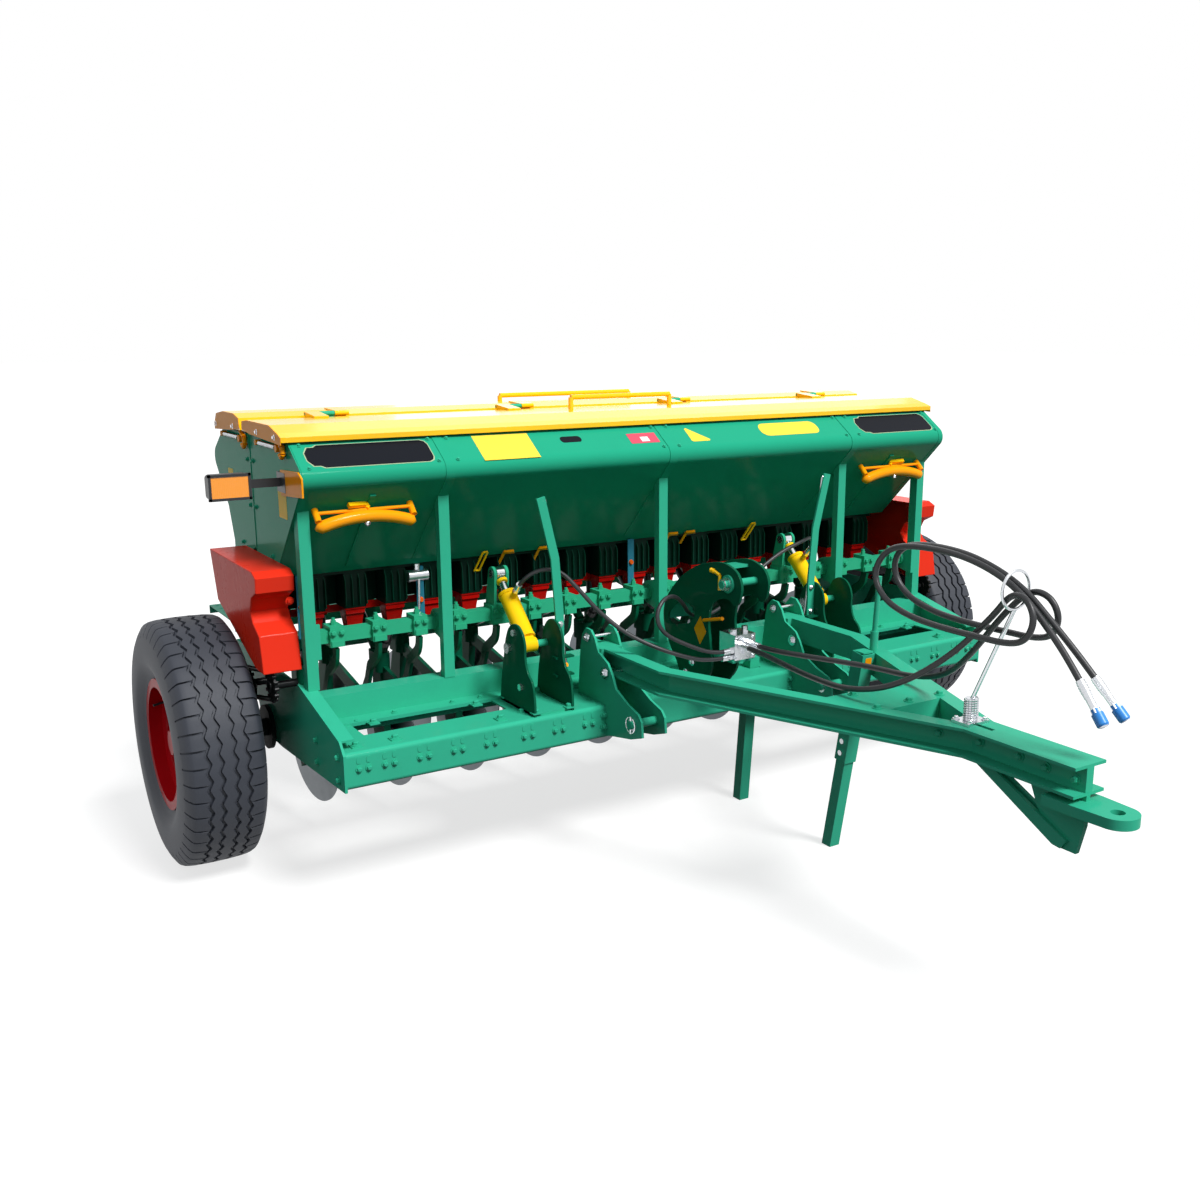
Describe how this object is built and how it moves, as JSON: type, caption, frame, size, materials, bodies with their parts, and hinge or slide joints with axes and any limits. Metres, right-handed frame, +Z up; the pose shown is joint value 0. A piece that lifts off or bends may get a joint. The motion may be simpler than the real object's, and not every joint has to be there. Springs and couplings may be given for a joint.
{
  "type": "seed drill",
  "caption": "Trailed seed drill: two-compartment hopper with hinged lids, disc openers below, two wheels, a V drawbar with hitch eye, lift cylinders, parking legs and looped hydraulic hoses",
  "frame": {"origin": "on the ground under the middle of the machine's bounding box, taken without the hoses", "axes": "+Z up, X across the machine, the drawbar points to -Y, which is the direction of travel"},
  "size_m": [3.38, 3.188, 1.484],
  "materials": {
    "green_paint": "glossy green enamel",
    "yellow_paint": "glossy yellow enamel",
    "red_paint": "glossy red enamel",
    "red_rim_paint": "glossy red enamel",
    "teal_paint": "semi-gloss teal enamel",
    "tyre_rubber": "matte black rubber",
    "hose_rubber": "satin black rubber hose",
    "red_plastic": "red moulded plastic",
    "dark_plastic": "dark green moulded plastic",
    "tube_plastic": "black telescopic plastic",
    "bare_steel": "bright machined steel",
    "disc_steel": "rolled spring steel",
    "amber_lens": "amber moulded lens in a black frame"
  },
  "bodies": {
    "frame": {"front_beam": "green_paint", "rear_beam": "green_paint", "rear_frame_tube": "green_paint", "end_plates": "green_paint", "stub_axles": "green_paint", "hopper_front_wall": "green_paint", "hopper_rear_wall": "green_paint", "hopper_ends": "green_paint", "hopper_divider": "green_paint", "hopper_posts": "green_paint", "metering_units": "dark_plastic", "outlet_boxes": "red_plastic", "opener_pivot": "green_paint", "lift_bearings": "green_paint", "cylinder_towers": "green_paint", "hand_levers": "green_paint", "headstock": "green_paint", "lower_link_brackets": "green_paint", "drawbar_channel_left": "green_paint", "drawbar_channel_right": "green_paint", "drawbar_brace": "green_paint", "hitch": "green_paint", "jack_tube": "green_paint", "stand_socket": "green_paint", "drive_guards": "red_paint", "walkway": "teal_paint", "walkway_arms": "teal_paint", "lamp": "amber_lens", "grip_bars": "yellow_paint", "valve_block": "bare_steel", "hose_stand": "bare_steel", "drop_tubes": "tube_plastic", "main_hose_a": "hose_rubber", "main_hose_b": "hose_rubber", "cylinder_hose_left": "hose_rubber", "cylinder_hose_right": "hose_rubber", "coupler_a": "bare_steel", "coupler_b": "bare_steel"},
    "wheel_left": {"tyre_left": "tyre_rubber", "rim_left": "red_rim_paint"},
    "wheel_right": {"tyre_right": "tyre_rubber", "rim_right": "red_rim_paint"},
    "front_lid": {"front_lid": "yellow_paint"},
    "rear_lid": {"rear_lid": "yellow_paint"},
    "lift_shaft": {"lift_shaft": "green_paint", "pressure_springs": "green_paint"},
    "openers": {"opener_arms": "green_paint", "opener_discs": "disc_steel"},
    "cylinder_left": {"cylinder_barrel_left": "yellow_paint"},
    "cylinder_right": {"cylinder_barrel_right": "yellow_paint"},
    "rod_left": {"cylinder_rod_left": "bare_steel"},
    "rod_right": {"cylinder_rod_right": "bare_steel"},
    "jack_leg": {"jack_leg": "green_paint"},
    "stand_leg": {"stand_leg": "green_paint"}
  },
  "joints": [
    {"name": "wheel_left_spin", "type": "hinge", "parent": "frame", "child": "wheel_left", "pos_m": [-1.56, 0.804, 0.405], "axis": [1, 0, 0], "continuous": true},
    {"name": "wheel_right_spin", "type": "hinge", "parent": "frame", "child": "wheel_right", "pos_m": [1.56, 0.804, 0.405], "axis": [1, 0, 0], "continuous": true},
    {"name": "front_lid_hinge", "type": "hinge", "parent": "frame", "child": "front_lid", "pos_m": [0, 0.834, 1.44], "axis": [-1, 0, 0], "range_deg": [0, 80]},
    {"name": "rear_lid_hinge", "type": "hinge", "parent": "frame", "child": "rear_lid", "pos_m": [0, 0.834, 1.44], "axis": [1, 0, 0], "range_deg": [0, 80]},
    {"name": "openers_lower", "type": "hinge", "parent": "frame", "child": "openers", "pos_m": [0, 0.494, 0.48], "axis": [-1, 0, 0], "range_deg": [0, 17], "deforming": ["drop_tubes", "cylinder_hose_left", "cylinder_hose_right"]},
    {"name": "lift_shaft_turn", "type": "hinge", "parent": "frame", "child": "lift_shaft", "pos_m": [0, 0.474, 0.775], "axis": [-1, 0, 0], "range_deg": [0, 14.6]},
    {"name": "cylinder_left_swing", "type": "hinge", "parent": "frame", "child": "cylinder_left", "pos_m": [-0.62, 0.244, 0.712], "axis": [-1, 0, 0], "range_deg": [0, 4.5]},
    {"name": "rod_left_slide", "type": "slide", "parent": "cylinder_left", "child": "rod_left", "axis": [0, 0.719, 0.695], "range_m": [0, 0.0272]},
    {"name": "cylinder_right_swing", "type": "hinge", "parent": "frame", "child": "cylinder_right", "pos_m": [0.62, 0.244, 0.712], "axis": [-1, 0, 0], "range_deg": [0, 4.5]},
    {"name": "rod_right_slide", "type": "slide", "parent": "cylinder_right", "child": "rod_right", "axis": [0, 0.719, 0.695], "range_m": [0, 0.0272]},
    {"name": "jack_leg_slide", "type": "slide", "parent": "frame", "child": "jack_leg", "axis": [0, -0.1736, 0.9848], "range_m": [0, 0.235]},
    {"name": "stand_leg_slide", "type": "slide", "parent": "frame", "child": "stand_leg", "axis": [0, -0.0872, 0.9962], "range_m": [0, 0.25]}
  ],
  "couplings": [
    {"joint": "lift_shaft_turn", "follows": "openers_lower", "ratio": 0.85},
    {"joint": "cylinder_left_swing", "follows": "openers_lower", "ratio": 0.25718},
    {"joint": "rod_left_slide", "follows": "openers_lower", "m_per_rad": 0.090633},
    {"joint": "cylinder_right_swing", "follows": "openers_lower", "ratio": 0.25718},
    {"joint": "rod_right_slide", "follows": "openers_lower", "m_per_rad": 0.090633}
  ]
}
